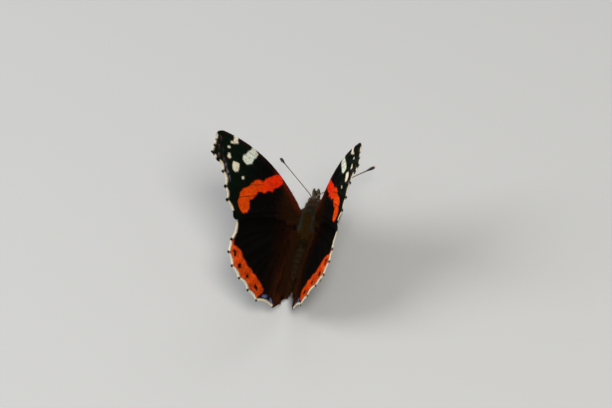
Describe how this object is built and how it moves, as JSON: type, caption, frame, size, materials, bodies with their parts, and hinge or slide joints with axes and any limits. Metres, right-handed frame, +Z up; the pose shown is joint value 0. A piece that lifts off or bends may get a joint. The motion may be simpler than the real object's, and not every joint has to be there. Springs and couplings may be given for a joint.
{
  "type": "red admiral butterfly",
  "caption": "Life-size red admiral butterfly, standing with its wings half raised, as a still museum model.",
  "frame": {"origin": "on the floor under the middle of the insect's box, between the feet", "axes": "+Y forwards, the way the head points; +X to the insect's right; +Z up from the floor"},
  "size_m": [0.0368, 0.046, 0.0364],
  "materials": {
    "body_fur": "dark brown hair and scales",
    "eye": "dark brown, glossy, finely faceted",
    "antenna": "dark with pale rings, satin",
    "proboscis": "dark brown horny coil, satin",
    "forewing": "black scales with an orange-red band and white spots, velvety",
    "hindwing": "black-brown scales with an orange-red border, velvety",
    "leg": "brown horn with fine hair, satin"
  },
  "bodies": {
    "root": {"thorax": "body_fur", "head": "body_fur", "abdomen": "body_fur", "palp_left": "body_fur", "palp_right": "body_fur", "eye_left": "eye", "eye_right": "eye", "antenna_left": "antenna", "antenna_right": "antenna", "proboscis": "proboscis", "forewing_left": "forewing", "forewing_right": "forewing", "hindwing_left": "hindwing", "hindwing_right": "hindwing", "foreleg_left": "leg", "foreleg_right": "leg", "midleg_left": "leg", "midleg_right": "leg", "hindleg_left": "leg", "hindleg_right": "leg"}
  },
  "joints": []
}
